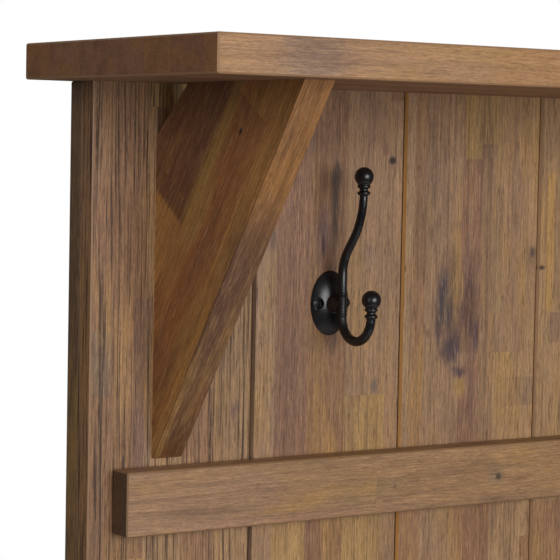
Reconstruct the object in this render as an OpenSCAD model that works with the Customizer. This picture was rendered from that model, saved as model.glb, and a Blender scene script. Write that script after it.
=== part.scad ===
// Hall tree: a grooved plank back with a top shelf on two plank braces, three double
// coat hooks, a planted rail, and a storage bench with a lift-up seat.
// The front faces -Y. The origin is on the floor, at the middle of the bounding box.

/* [Overall size] */
// Width of the top shelf and of the seat
overall_w = 1220; // [1000:10:1400]
// Height from the floor to the top of the shelf
overall_h = 1780; // [1600:10:1950]
// Depth from the front of the seat to the back of the frame
overall_d = 450; // [420:5:500]

/* [Top shelf and braces] */
// Depth of the top shelf
shelf_d = 300; // [270:5:330]
// Thickness of the top shelf and of the seat
slab_t = 30; // [26:1:36]
// How far the shelf and the seat reach past each side
side_overhang = 43; // [30:1:55]
// Thickness of a brace
brace_t = 28; // [22:1:34]
// Distance from the side of the panel to a brace
brace_inset = 61; // [50:1:64]
// How far a brace reaches down the panel
brace_h = 318; // [260:2:322]
// How far a brace reaches out under the shelf
brace_reach = 219; // [180:1:225]
// Cut at the back of a brace, down the panel
brace_cut_h = 44.5; // [20:0.5:60]
// Cut at the back of a brace, out along the shelf
brace_cut_d = 50; // [20:0.5:60]

/* [Back panel] */
// Thickness of a board
board_t = 20; // [18:1:22]
// Width of each bevel that makes the V between two boards
vee = 2.2; // [1:0.1:3]
// Seam left open at the bottom of the V
seam = 0.9; // [0.4:0.1:1.4]
// Thickness of the rear frame behind the boards
frame_t = 20; // [18:1:24]

/* [Planted rails] */
// Distance from the underside of the shelf to the top of the panel rail
rail_drop = 325; // [324:1:400]
// Height of the panel rail and of the bench rails
rail_h = 55; // [45:1:70]
// Thickness of the rails
rail_t = 25; // [20:1:28]
// Distance from the side of the panel to the end of the panel rail
rail_inset = 23.5; // [10:0.5:60]

/* [Hooks] */
// Distance from the underside of the shelf to the middle of a hook's plate
hook_drop = 190; // [170:1:215]
// Diameter of a hook's arms
arm_d = 7.8; // [6:0.1:8.2]
// Diameter of the ball on each arm
ball_d = 17; // [14:0.5:18]
// Width of the oval plate
plate_w = 42; // [40:1:46]
// Height of the oval plate
plate_h = 59; // [54:1:66]

/* [Bench] */
// Height of the top of the seat
seat_h = 460; // [420:5:500]
// Depth of the fixed strip that the seat is hinged to
strip_d = 60; // [50:1:80]
// How far the seat reaches past the front of the bench
seat_nose = 25; // [15:1:35]
// Side of a square bench post
post_w = 55; // [50:1:65]
// Height of the lower bench rails above the floor
bench_clear = 75; // [60:1:100]
// How far the seat is drawn opened, in degrees
lid_open = 0; // [0:0.5:100]

/* [Hidden] */
$fn = 48;
board_count = 7;
end_board_count = 2;
hook_boards = [2, 4, 6];
glide_h = 4;
glide_r = 9;
ease = 1.2;
slab_ease = 1.5;
rail_ease = 0.8;
eps = 0.01;
clear = 0.05;

// Back panel
panel_w = overall_w - 2 * side_overhang;
board_w = panel_w / board_count;
back_y = overall_d / 2;
panel_y = back_y - frame_t - board_t;
frame_y = back_y - frame_t;
shelf_z = overall_h - slab_t;
side_x = panel_w / 2;
brace_x = side_x - brace_inset - brace_t / 2;
brace_toe = 3;
board_foot_z = 60;
tongue_t = 6;
tongue_l = 8;
tongue_clear = 0.2;
stile_w = 60;
batten_h = 80;
seat_batten_drop = 60;
anti_tip_x = 300;
anti_tip_r = 1.75;
anti_tip_l = 14;

// Panel rail and rear battens
rail_z = shelf_z - rail_drop - rail_h;
batten_z = [
    shelf_z - batten_h,
    rail_z + rail_h / 2 - batten_h / 2,
    seat_h - seat_batten_drop,
    board_foot_z,
];
BATTEN_NAMES = ["top", "rail", "seat", "bottom"];

// Bench
seat_z = seat_h - slab_t;
rim_gap = 2;
rim_z = seat_z - rim_gap;
bench_y = -overall_d / 2 + seat_nose;
front_board_y = bench_y + rail_t;
post_back_y = bench_y + post_w;
end_board_x = side_x - rail_t - board_t;
end_run = panel_y - post_back_y;
end_board_w = end_run / end_board_count;
front_half = side_x - post_w;
floor_t = 12;
cleat = 20;
cleat_z = bench_clear + 2;
floor_z = cleat_z + cleat;
ledger_h = 40;
batten_lid_w = 45;
batten_lid_t = 20;
batten_lid_x = panel_w / 3;
batten_lid_y = [front_board_y + 55, panel_y - strip_d - 35];

// Seat joint and hinges
strip_y = panel_y - strip_d;
lid_gap = 2;
lid_y = strip_y - lid_gap;
knuckle_r = 4;
pin_r = 2;
hinge_y = strip_y - lid_gap / 2;
hinge_z = seat_h + knuckle_r + 0.4;
hinge_x = [-400, 0, 400];
leaf_l = 76;
leaf_t = 1.5;
leaf_gap = 0.5;
leaf_h = 26;
leaf_let_in = 0.8;
knuckle_count = 5;
knuckle_gap = 0.3;
knuckle_l = leaf_l / knuckle_count;
hinge_screw_x = [-26, 0, 26];
hinge_screw_z = seat_h - 15;
hinge_screw_r = 1.5;
hinge_screw_l = 18;
hinge_screw_hole_l = 10;

// Fasteners
frame_screw_l = 32;
frame_screw_r = 1.75;
stile_screw_x = side_x - stile_w / 3;
stile_screw_z = [140:300:shelf_z - 100];
rail_screw_pitch = 1.55 * board_w;
brace_screw_drop = [for (share = [0.33, 0.66]) share * brace_h];
brace_screw_reach = 0.6 * brace_reach;
long_screw_l = 60;
long_screw_r = 2.25;
long_head_r = 4.5;
plug_r = 5;
plug_t = 6;
bolt_r = 3;
bolt_l = 70;
bolt_head_r = 6;
bolt_head_t = 4;
bolt_head_gap = 0.5;
bolt_head_sink = 1;
bolt_hex_r = 2.3;
bolt_hex_depth = 2.5;
bolt_run_out = 8;
nut_r = 5;
nut_l = 20;
nut_reach = 25;
bolt_z = [bench_clear + rail_h / 2, rim_z - rail_h / 2];
bolt_x = side_x - rail_t / 2;

// Hook: heights from the middle of its plate, reaches from the face of the board
stem_reach = 19.3;
stem_top = 27;
dome_h = 9;
swell_angle = 38;
swell_r1 = 34;
swell_l = 12.2;
swell_lap = 0.3;
swell_r2 = 68;
cup_z = -9.4;
cup_r = 21.9;
collar_r = 5.9;
collar_d = 3.6;
collar_gap = 5.8;
stem_collar_z = 9.5;
stem_collar_r = arm_d / 2 + 0.9;
stem_barrel_d = arm_d + 0.6;
arm_joint_d = arm_d + 0.3;
stem_neck_r = [8, 4];
stem_neck_root = 3;
upper_neck = 14.4;
lower_neck = 16.2;
// Bow of the plate's long profile, and how far behind the board its turning axis lies
plate_bow = (plate_h * plate_h / 4 + dome_h * dome_h) / (2 * dome_h);
plate_axis_y = (plate_w * plate_w / 4 - dome_h * dome_h) / (2 * dome_h);
plate_screw_x = 16;
plate_screw_r = 1.75;
plate_screw_head_r = 4.3;
plate_screw_head_h = 1.6;
plate_screw_dome_r = 7;
plate_screw_seat = 3.2;
plate_screw_l = 20;
plate_screw_hole_l = 18;
plate_hole_clear = 0.6;

// ---- Profiles and small shapes -------------------------------------------------------

// Rectangle from the origin with all four corners eased
module eased_rect(w, h, e = ease) {
    polygon([
        [e, 0], [w - e, 0], [w, e], [w, h - e],
        [w - e, h], [e, h], [0, h - e], [0, e],
    ]);
}

// Board or slab from the origin with every edge eased
module eased_block(size, e = ease) {
    intersection() {
        linear_extrude(size.z) eased_rect(size.x, size.y, e);
        translate([0, size.y, 0]) rotate([90, 0, 0]) linear_extrude(size.y)
            eased_rect(size.x, size.z, e);
        rotate([90, 0, 90]) linear_extrude(size.x) eased_rect(size.y, size.z, e);
    }
}

// Cross section of a tongued and grooved board, front face on y = 0, left seam on x = 0
module board_profile(w, t, first, last) {
    left = first ? 0 : seam / 2;
    right = last ? w : w - seam / 2;
    left_cut = first ? ease : vee;
    right_cut = last ? ease : vee;
    low = t / 2 - tongue_t / 2;
    high = t / 2 + tongue_t / 2;
    groove = first ? [] : [
        [left, high + tongue_clear],
        [left + tongue_l + tongue_clear, high + tongue_clear],
        [left + tongue_l + tongue_clear, low - tongue_clear],
        [left, low - tongue_clear],
    ];
    tongue = last ? [] : [
        [right, low], [right + tongue_l, low], [right + tongue_l, high], [right, high],
    ];
    polygon(concat(
        [[left + left_cut, 0], [right - right_cut, 0], [right, right_cut]],
        tongue,
        [[right, t], [left, t]],
        groove,
        [[left, left_cut]]
    ));
}

// Cylinder along +Y from the origin
module along_y(r, l) rotate([-90, 0, 0]) cylinder(r = r, h = l);

// Countersunk screw with its head flush on the origin plane and its point towards +Z
module screw(shank_r, head_r, l) {
    cylinder(r1 = head_r, r2 = shank_r, h = head_r - shank_r);
    cylinder(r = shank_r, h = l);
}

// Hole that such a screw turns into
module screw_hole(shank_r, head_r, l) {
    translate([0, 0, -eps]) cylinder(r1 = head_r + clear + eps, r2 = shank_r + clear,
                                     h = head_r - shank_r + eps);
    translate([0, 0, -eps]) cylinder(r = shank_r + clear, h = l + clear + eps);
}

module left_and_right() {
    children();
    mirror([1, 0, 0]) children();
}

module on_side(side) {
    if (side == "left") children();
    else mirror([1, 0, 0]) children();
}

// ---- Where the fasteners go ----------------------------------------------------------

function board_x(i) = -side_x + (i - 0.5) * board_w;

// Screws from the back through the frame into the boards
module at_frame_screws() {
    for (i = [1:board_count], z = batten_z)
        if (i > 1 && i < board_count)
            translate([board_x(i), back_y, z + batten_h / 2]) rotate([90, 0, 0]) children();
    for (s = [-1, 1], z = stile_screw_z)
        translate([s * stile_screw_x, back_y, z]) rotate([90, 0, 0]) children();
}

// Screws through the back panel into the planted rail
module at_rail_screws()
    for (x = [-1.5, -0.5, 0.5, 1.5])
        translate([x * rail_screw_pitch, back_y, rail_z + rail_h / 2])
            rotate([90, 0, 0]) children();

// Screws through the boards into the braces
module at_brace_screws()
    for (s = [-1, 1], drop = brace_screw_drop)
        translate([s * brace_x, frame_y, shelf_z - drop]) rotate([90, 0, 0]) children();

// Screws down through the shelf into the rear frame and the braces, under plugs
module at_shelf_screws(z = overall_h - plug_t) {
    for (x = [-1, -0.5, 0, 0.5, 1])
        translate([x * (side_x - stile_w / 2), back_y - frame_t / 2, z])
            rotate([180, 0, 0]) children();
    for (s = [-1, 1])
        translate([s * brace_x, panel_y - brace_screw_reach, z])
            rotate([180, 0, 0]) children();
}

module at_hinges() for (x = hinge_x) translate([x, 0, 0]) children();

module at_hooks(i) translate([board_x(i), panel_y, shelf_z - hook_drop]) children();

// Rests of the seat on the rim of the bench
module at_bumpers() for (x = [-side_x + post_w / 2, -panel_w / 6, panel_w / 6,
                              side_x - post_w / 2])
    translate([x, bench_y + rail_t / 2, rim_z]) children();

module frame_screw_holes()
    at_frame_screws() screw_hole(frame_screw_r, 2 * frame_screw_r, frame_screw_l);

module long_screw_holes() {
    at_rail_screws() screw_hole(long_screw_r, long_head_r, long_screw_l);
    at_brace_screws() screw_hole(long_screw_r, long_head_r, long_screw_l);
    at_shelf_screws() screw_hole(long_screw_r, long_head_r, long_screw_l);
}

// Bolts from the back through the stiles into the ends of the bench's side rails
module bolt_holes()
    left_and_right() for (z = bolt_z) translate([-bolt_x, 0, z]) {
        translate([0, back_y - bolt_head_t - bolt_head_sink, 0])
            along_y(bolt_head_r + bolt_head_gap, bolt_head_t + 2 * bolt_head_sink);
        translate([0, back_y - bolt_l, 0]) along_y(bolt_r + clear, bolt_l);
        translate([0, panel_y - nut_reach, -nut_l / 2 - clear])
            cylinder(r = nut_r + clear, h = nut_l + 2 * clear);
    }

// ---- Top shelf, braces and back panel ------------------------------------------------

module top_shelf() color("#8a5c3c") difference() {
    translate([-overall_w / 2, back_y - shelf_d, shelf_z])
        eased_block([overall_w, shelf_d, slab_t], slab_ease);
    at_shelf_screws() screw_hole(long_screw_r, long_head_r, long_screw_l);
    at_shelf_screws(overall_h) translate([0, 0, -1]) cylinder(r = plug_r, h = plug_t + 1);
}

module shelf_brace(side) color("#8f5a30") difference() {
    on_side(side) translate([-side_x + brace_inset, panel_y, shelf_z])
        rotate([90, 0, 90]) linear_extrude(brace_t) polygon([
            [0, -brace_cut_h], [-brace_cut_d, 0], [-brace_reach, 0],
            [-brace_toe, -brace_h], [0, -brace_h],
        ]);
    long_screw_holes();
}

module back_board(i) color(i % 2 == 0 ? "#a87c50" : "#946843") difference() {
    translate([-side_x + (i - 1) * board_w, panel_y, board_foot_z])
        linear_extrude(shelf_z - board_foot_z)
            board_profile(board_w, board_t, i == 1, i == board_count);
    frame_screw_holes();
    at_rail_screws() screw_hole(long_screw_r, long_head_r, long_screw_l);
    at_brace_screws() screw_hole(long_screw_r, long_head_r, long_screw_l);
    bolt_holes();
    for (b = hook_boards) if (b == i) at_hooks(i) plate_screw_places()
        translate([0, 0, -eps])
            cylinder(r = plate_screw_r + clear, h = plate_screw_hole_l + eps);
}

module rear_stile(side) color("#5b4630") difference() {
    on_side(side) translate([-side_x, frame_y, glide_h])
        eased_block([stile_w, frame_t, shelf_z - glide_h]);
    frame_screw_holes();
    at_shelf_screws() screw_hole(long_screw_r, long_head_r, long_screw_l);
    bolt_holes();
}

module rear_batten(n) color("#5b4630") difference() {
    translate([-side_x + stile_w, frame_y, batten_z[n]])
        cube([panel_w - 2 * stile_w, frame_t, batten_h]);
    frame_screw_holes();
    at_rail_screws() screw_hole(long_screw_r, long_head_r, long_screw_l);
    at_shelf_screws() screw_hole(long_screw_r, long_head_r, long_screw_l);
    if (n == 0) for (s = [-1, 1])
        translate([s * anti_tip_x, back_y - anti_tip_l, batten_z[0] + batten_h / 4])
            along_y(anti_tip_r, anti_tip_l + 1);
}

module panel_rail() color("#9c7240") difference() {
    translate([-side_x + rail_inset, panel_y - rail_t, rail_z])
        eased_block([panel_w - 2 * rail_inset, rail_t, rail_h]);
    at_rail_screws() screw_hole(long_screw_r, long_head_r, long_screw_l);
}

// ---- Double coat hook ----------------------------------------------------------------

// The hook's side view is drawn with x for the reach from the board and y for the height
module in_side_view() rotate([90, 0, -90]) children();

// Stretch of arm that bends round a centre, from one angle to another
module arm_bend(centre, r, from, to)
    translate([centre.x, centre.y, 0]) rotate([0, 0, from])
        rotate_extrude(angle = to - from, $fn = 160) translate([r, 0]) circle(d = arm_d, $fn = 32);

module arm_straight(at, angle, l, d = arm_d)
    translate([at.x, at.y, 0]) rotate([0, 0, angle]) rotate([0, 90, 0])
        cylinder(d = d, h = l, $fn = 32);

// Ball on the end of an arm, above two turned collars
module ball_end(at, drop)
    translate([at.x, at.y, 0]) rotate([-90, 0, 0]) {
        sphere(d = ball_d, $fn = 40);
        translate([0, 0, -drop]) cylinder(d = arm_d, h = drop, $fn = 32);
        for (k = [0, 1]) translate([0, 0, -ball_d / 2 - k * collar_gap]) collar(collar_r);
    }

module collar(r)
    rotate_extrude($fn = 36) {
        translate([r - collar_d / 2, 0]) circle(d = collar_d, $fn = 20);
        translate([0, -collar_d / 2]) square([r - collar_d / 2, collar_d]);
    }

// Screws in the plate, pointing into the board
module plate_screw_places()
    for (s = [-1, 1]) translate([s * plate_screw_x, 0, 0]) rotate([-90, 0, 0]) children();

function bend1_end() = [
    stem_reach + swell_r1 * (1 - cos(swell_angle)),
    stem_top + swell_r1 * sin(swell_angle),
];
function swell_way() = [sin(swell_angle), cos(swell_angle)];
function bend2_start() = bend1_end() + swell_l * swell_way();
function arm_top() = bend2_start()
    + swell_r2 * [1 - cos(swell_angle), sin(swell_angle)];

// Round swelling that closes the joint between two stretches of arm
module arm_joint(at) translate([at.x, at.y, 0]) sphere(d = arm_joint_d, $fn = 32);

// Domed oval plate, cut from a body turned about the plate's long axis
module hook_plate() {
    difference() {
        translate([0, plate_axis_y, 0]) rotate_extrude($fn = 96) intersection() {
            translate([plate_axis_y + dome_h - plate_bow, 0]) circle(r = plate_bow, $fn = 144);
            translate([0, -plate_h]) square(2 * plate_h);
        }
        translate([-plate_h, 0, -plate_h]) cube(2 * plate_h);
        plate_screw_places() translate([0, 0, -dome_h - 1]) {
            cylinder(r = plate_screw_r + clear, h = 2 * dome_h);
            cylinder(r = plate_screw_head_r + plate_hole_clear,
                     h = dome_h + 1 - plate_screw_seat);
        }
    }
}

module hook(i) color("#17181a") at_hooks(hook_boards[i - 1]) {
    top = arm_top();
    cup = [stem_reach + cup_r, cup_z];
    tip = cup + [cup_r, 0];
    in_side_view() {
        arm_straight([stem_reach, cup_z], 90, stem_top - cup_z);
        arm_bend([stem_reach + swell_r1, stem_top], swell_r1, 180 - swell_angle, 180);
        arm_straight(bend1_end() - swell_lap * swell_way(), 90 - swell_angle,
                     swell_l + 2 * swell_lap, arm_joint_d);
        arm_bend([top.x - swell_r2, top.y], swell_r2, -swell_angle, 0);
        arm_bend(cup, cup_r, 180, 360);
        for (p = [[stem_reach, stem_top], top, [stem_reach, cup_z], tip]) arm_joint(p);
        ball_end(top + [0, upper_neck], upper_neck);
        ball_end(tip + [0, lower_neck], lower_neck);
        translate([stem_reach, 0, 0]) rotate([-90, 0, 0]) {
            for (s = [-1, 1]) translate([0, 0, s * stem_collar_z]) collar(stem_collar_r);
            translate([0, 0, -stem_collar_z])
                cylinder(d = stem_barrel_d, h = 2 * stem_collar_z);
        }
        rotate([0, 90, 0]) translate([0, 0, dome_h - stem_neck_root])
            cylinder(r1 = stem_neck_r[0], r2 = stem_neck_r[1],
                     h = stem_reach - dome_h + stem_neck_root);
    }
    hook_plate();
}

// Cross recess of a screw head, cut down from the origin plane
module cross_recess(r, depth)
    for (a = [0, 90]) rotate([0, 0, a])
        translate([-r, -r / 5, -1]) cube([2 * r, 2 * r / 5, depth + 1]);

module hook_screws() color("#141416")
    for (b = hook_boards) at_hooks(b) plate_screw_places()
        translate([0, 0, -plate_screw_seat]) difference() {
            union() {
                intersection() {
                    translate([0, 0, plate_screw_dome_r - plate_screw_head_h])
                        sphere(r = plate_screw_dome_r, $fn = 40);
                    translate([0, 0, -plate_screw_head_h])
                        cylinder(r = plate_screw_head_r, h = plate_screw_head_h);
                }
                cylinder(r = plate_screw_r, h = plate_screw_l);
            }
            translate([0, 0, -plate_screw_head_h])
                cross_recess(0.6 * plate_screw_head_r, 0.8 * plate_screw_head_h);
        }

// ---- Bench ---------------------------------------------------------------------------

module bench_post(side) color("#8f6540")
    on_side(side) translate([-side_x, bench_y, glide_h])
        eased_block([post_w, post_w, rim_z - glide_h], slab_ease);

module bench_front_rail(z) color("#9c7240")
    translate([-front_half, bench_y, z])
        eased_block([2 * front_half, rail_t, rail_h], rail_ease);

module bench_front_board(i) color(i % 2 == 0 ? "#a87c50" : "#946843") {
    first = i == 1;
    last = i == board_count;
    x0 = first ? -front_half : -side_x + (i - 1) * board_w;
    x1 = last ? front_half : -side_x + i * board_w;
    translate([x0, front_board_y, bench_clear]) linear_extrude(rim_z - bench_clear)
        board_profile(x1 - x0, board_t, first, last);
}

// Boards at the end of the bench: the first is next to the back panel on the left side
module bench_end_board(side, i) color(i == 1 ? "#946843" : "#a87c50")
    on_side(side) translate([-end_board_x - board_t, panel_y, bench_clear])
        rotate([0, 0, -90]) translate([(i - 1) * end_board_w, 0, 0])
            linear_extrude(rim_z - bench_clear)
                board_profile(end_board_w, board_t, i == 1, i == end_board_count);

module bench_end_rail(side, z) color("#9c7240") difference() {
    on_side(side) translate([-side_x, post_back_y, z])
        eased_block([rail_t, end_run, rail_h], rail_ease);
    bolt_holes();
}

module bench_floor() color("#a98a63") difference() {
    translate([-end_board_x + clear, front_board_y + board_t + 1, floor_z])
        cube([2 * (end_board_x - clear), panel_y - front_board_y - board_t - 2, floor_t]);
    left_and_right() translate([-side_x - 1, bench_y, floor_z - 1])
        cube([post_w + 2, post_w + 1, floor_t + 2]);
}

module floor_cleat(y) color("#6e5438")
    translate([-front_half + 2, y, cleat_z]) cube([2 * front_half - 4, cleat, cleat]);

module seat_ledger() color("#6e5438")
    translate([-end_board_x + clear, panel_y - rail_t, seat_z - ledger_h])
        cube([2 * (end_board_x - clear), rail_t, ledger_h]);

// Pocket that a hinge leaf lies in, from its edge of the wood
module leaf_pocket() translate([-leaf_l / 2 - 0.2, 0, seat_h - leaf_h - 0.2])
    cube([leaf_l + 0.4, leaf_let_in + 1, leaf_h + 2]);

module seat_strip() color("#8a5c3c") difference() {
    translate([-overall_w / 2, strip_y, seat_z])
        eased_block([overall_w, strip_d, slab_t]);
    at_hinges() translate([0, strip_y - 1, 0]) leaf_pocket();
    at_hinge_screws(1) cylinder(r = hinge_screw_r + clear, h = hinge_screw_l + clear);
}

module seat_lid() color("#8a5c3c") difference() {
    translate([-overall_w / 2, -overall_d / 2, seat_z])
        eased_block([overall_w, lid_y + overall_d / 2, slab_t], slab_ease);
    at_hinges() translate([0, lid_y - leaf_let_in, 0]) leaf_pocket();
    at_hinge_screws(-1) cylinder(r = hinge_screw_r + clear, h = hinge_screw_l + clear);
}

module lid_batten(side) color("#6e5438")
    on_side(side) translate([-batten_lid_x - batten_lid_w / 2, batten_lid_y[0],
                             seat_z - batten_lid_t])
        eased_block([batten_lid_w, batten_lid_y[1] - batten_lid_y[0], batten_lid_t]);

// ---- Butt hinges ---------------------------------------------------------------------

// Screws in the leaves: dir 1 points into the strip and -1 into the lid
module at_hinge_screws(dir)
    at_hinges() for (x = hinge_screw_x)
        translate([x, hinge_y + dir * leaf_gap / 2, hinge_screw_z])
            rotate([-90 * dir, 0, 0]) children();

// Leaf and its knuckles: dir 1 is the strip's leaf and -1 the lid's
module hinge_leaf(dir, own) difference() {
    union() {
        translate([-leaf_l / 2, dir > 0 ? leaf_gap / 2 : -leaf_gap / 2 - leaf_t,
                   seat_h - leaf_h - hinge_z])
            cube([leaf_l, leaf_t, leaf_h]);
        for (k = own) translate([-leaf_l / 2 + k * knuckle_l + knuckle_gap / 2, 0, 0]) {
            rotate([0, 90, 0]) cylinder(r = knuckle_r, h = knuckle_l - knuckle_gap);
            translate([0, dir > 0 ? leaf_gap / 2 : -leaf_gap / 2 - leaf_t,
                       seat_h - hinge_z - 1])
                cube([knuckle_l - knuckle_gap, leaf_t, hinge_z - seat_h]);
        }
    }
    translate([-leaf_l, 0, 0]) rotate([0, 90, 0]) cylinder(r = pin_r + clear, h = 2 * leaf_l);
}

module hinge_leaves(dir, own) color("#26231f") difference() {
    at_hinges() translate([0, hinge_y, hinge_z]) hinge_leaf(dir, own);
    at_hinge_screws(dir) screw_hole(hinge_screw_r, 2 * hinge_screw_r, hinge_screw_hole_l);
}

module hinge_pins() color("#3a3632")
    at_hinges() translate([-leaf_l / 2 - 1, hinge_y, hinge_z]) rotate([0, 90, 0]) {
        cylinder(r = pin_r, h = leaf_l + 2);
        for (x = [0, leaf_l + 1.1]) translate([0, 0, x - 0.1]) cylinder(r = pin_r + 1, h = 1);
    }

module hinge_screws(dir) color("#26231f")
    at_hinge_screws(dir) difference() {
        screw(hinge_screw_r, 2 * hinge_screw_r, hinge_screw_l);
        cross_recess(hinge_screw_r * 1.1, 0.7);
    }

// ---- Rests, glides and fasteners -----------------------------------------------------

module lid_bumpers() color("#2b2b2b")
    at_bumpers() cylinder(r1 = 6, r2 = 5, h = rim_gap - 0.3);

module floor_glides() color("#1f1f20") left_and_right() {
    translate([-side_x + post_w / 2, bench_y + post_w / 2, 0])
        cylinder(r1 = 2 * glide_r - 1, r2 = 2 * glide_r, h = glide_h);
    translate([-side_x + stile_w / 2, back_y - frame_t / 2, 0])
        cylinder(r1 = glide_r - 1, r2 = glide_r, h = glide_h);
}

module frame_screws() color("#8d8a82")
    at_frame_screws() difference() {
        screw(frame_screw_r, 2 * frame_screw_r, frame_screw_l);
        cross_recess(frame_screw_r * 1.1, 0.8);
    }

module long_screws() color("#8d8a82") {
    at_rail_screws() screw(long_screw_r, long_head_r, long_screw_l);
    at_brace_screws() screw(long_screw_r, long_head_r, long_screw_l);
    at_shelf_screws() screw(long_screw_r, long_head_r, long_screw_l);
}

module shelf_plugs() color("#7a4f30")
    at_shelf_screws(overall_h) cylinder(r = plug_r - clear, h = plug_t - clear);

module bench_bolts() color("#2a2a2c")
    left_and_right() for (z = bolt_z)
        translate([-bolt_x, back_y - bolt_head_t - bolt_head_sink, z]) {
            difference() {
                along_y(bolt_head_r, bolt_head_t);
                translate([0, bolt_head_t - bolt_hex_depth, 0]) rotate([-90, 0, 0])
                    cylinder(r = bolt_hex_r, h = bolt_hex_depth + 1, $fn = 6);
            }
            translate([0, bolt_run_out - bolt_l, 0]) along_y(bolt_r, bolt_l - bolt_run_out);
        }

module barrel_nuts() color("#8d8a82")
    left_and_right() for (z = bolt_z)
        difference() {
            translate([-bolt_x, panel_y - nut_reach, z - nut_l / 2])
                cylinder(r = nut_r, h = nut_l);
            translate([-bolt_x, panel_y - nut_reach - nut_r - 1, z])
                along_y(bolt_r + clear, 2 * nut_r + 2);
        }

// The seat and what moves with it turn about the hinge pins
module opened(a) translate([0, hinge_y, hinge_z]) rotate([-a, 0, 0])
    translate([0, -hinge_y, -hinge_z]) children();

top_shelf();
for (i = [1:board_count])
    back_board(i);
rear_stile("left");  // rear_stile_left
rear_stile("right");  // rear_stile_right
for (n = [0:len(BATTEN_NAMES) - 1])
    rear_batten(n);
shelf_brace("left");  // shelf_brace_left
shelf_brace("right");  // shelf_brace_right
panel_rail();
for (i = [1:len(hook_boards)])
    hook(i);
hook_screws();
bench_post("left");  // bench_post_left
bench_post("right");  // bench_post_right
bench_front_rail(rim_z - rail_h);  // bench_front_rail_top
bench_front_rail(bench_clear);  // bench_front_rail_bottom
for (i = [1:board_count])
    bench_front_board(i);
for (s = ["left", "right"], i = [1:end_board_count])
    bench_end_board(s, i);
for (s = ["left", "right"]) {
    bench_end_rail(s, bench_clear);
    bench_end_rail(s, rim_z - rail_h);
}
bench_floor();
floor_cleat(front_board_y + board_t);  // floor_cleat_front
floor_cleat(panel_y - cleat);  // floor_cleat_rear
seat_ledger();
seat_strip();
opened(lid_open) seat_lid();
opened(lid_open) lid_batten("left");  // lid_batten_left
opened(lid_open) lid_batten("right");  // lid_batten_right
hinge_leaves(1, [0, 2, 4]);  // hinge_leaves_strip
opened(lid_open) hinge_leaves(-1, [1, 3]);  // hinge_leaves_lid
hinge_pins();
hinge_screws(1);  // hinge_screws_strip
opened(lid_open) hinge_screws(-1);  // hinge_screws_lid
lid_bumpers();
floor_glides();
frame_screws();
long_screws();
shelf_plugs();
bench_bolts();
barrel_nuts();
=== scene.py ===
"""Looks of a hall tree: brushed acacia, cast black coat hooks, black hinges and a studio stage."""
import math

import bpy
from mathutils import Matrix, Vector


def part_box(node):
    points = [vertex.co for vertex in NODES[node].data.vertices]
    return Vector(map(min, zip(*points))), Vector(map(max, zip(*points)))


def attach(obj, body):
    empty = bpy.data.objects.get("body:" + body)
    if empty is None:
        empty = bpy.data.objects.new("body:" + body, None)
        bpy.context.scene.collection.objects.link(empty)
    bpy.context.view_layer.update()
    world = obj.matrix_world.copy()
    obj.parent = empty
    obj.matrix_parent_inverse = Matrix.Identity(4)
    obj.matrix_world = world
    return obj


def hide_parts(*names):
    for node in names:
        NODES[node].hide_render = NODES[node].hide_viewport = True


bl_info = {
    "name": "Hall tree with hooks",
    "version": (1, 0, 0),
    "blender": (4, 5, 0),
    "location": "View3D > Sidebar > Hall tree",
    "description": "Wood, metal and stage of a hall tree with coat hooks",
    "category": "Object",
}

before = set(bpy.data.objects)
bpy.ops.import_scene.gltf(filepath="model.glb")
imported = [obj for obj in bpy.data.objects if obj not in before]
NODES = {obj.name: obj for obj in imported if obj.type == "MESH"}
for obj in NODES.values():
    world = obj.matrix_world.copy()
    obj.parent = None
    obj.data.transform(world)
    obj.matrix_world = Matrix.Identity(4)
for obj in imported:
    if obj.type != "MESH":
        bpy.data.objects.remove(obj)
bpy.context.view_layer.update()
MM = 0.001

# The object's own places, from the frame. A board's tongue ends about this far past its pitch
TONGUE_PAST_PITCH = 0.0075
PANEL_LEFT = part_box("back_board_1")[0].x
PANEL_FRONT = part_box("back_board_1")[0].y
BOARD_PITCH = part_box("back_board_1")[1].x - PANEL_LEFT - TONGUE_PAST_PITCH
SHELF_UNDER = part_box("top_shelf")[0].z
BOARDS = [n for n in NODES if n.startswith("back_board_")]
HOOKS = sorted(n for n in NODES if n.startswith("hook_") and n != "hook_screws")

# Turns that bring a piece's grain onto the pattern's Z axis, its width onto X
GRAIN_UP = (0.0, 0.0, 0.0)
GRAIN_UP_SIDE = (0.0, 0.0, math.radians(90))
GRAIN_ALONG_SLAB = (math.radians(-90), math.radians(-90), 0.0)
GRAIN_ALONG_RAIL = (0.0, math.radians(-90), 0.0)
GRAIN_BACK = (math.radians(90), 0.0, math.radians(90))
# The braces' front edge runs back this far while it drops this far
BRACE_RUN = 0.216
BRACE_DROP = 0.318
BRACE_SLOPE = math.atan2(BRACE_RUN, BRACE_DROP)
GRAIN_DOWN_BRACE = (-BRACE_SLOPE, 0.0, math.radians(-90))


def linear(code):
    """Linear colour with alpha from an sRGB hex code."""
    parts = [int(code[k:k + 2], 16) / 255 for k in (1, 3, 5)]
    return tuple(c / 12.92 if c <= 0.04045 else ((c + 0.055) / 1.055) ** 2.4 for c in parts) + (1.0,)


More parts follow.
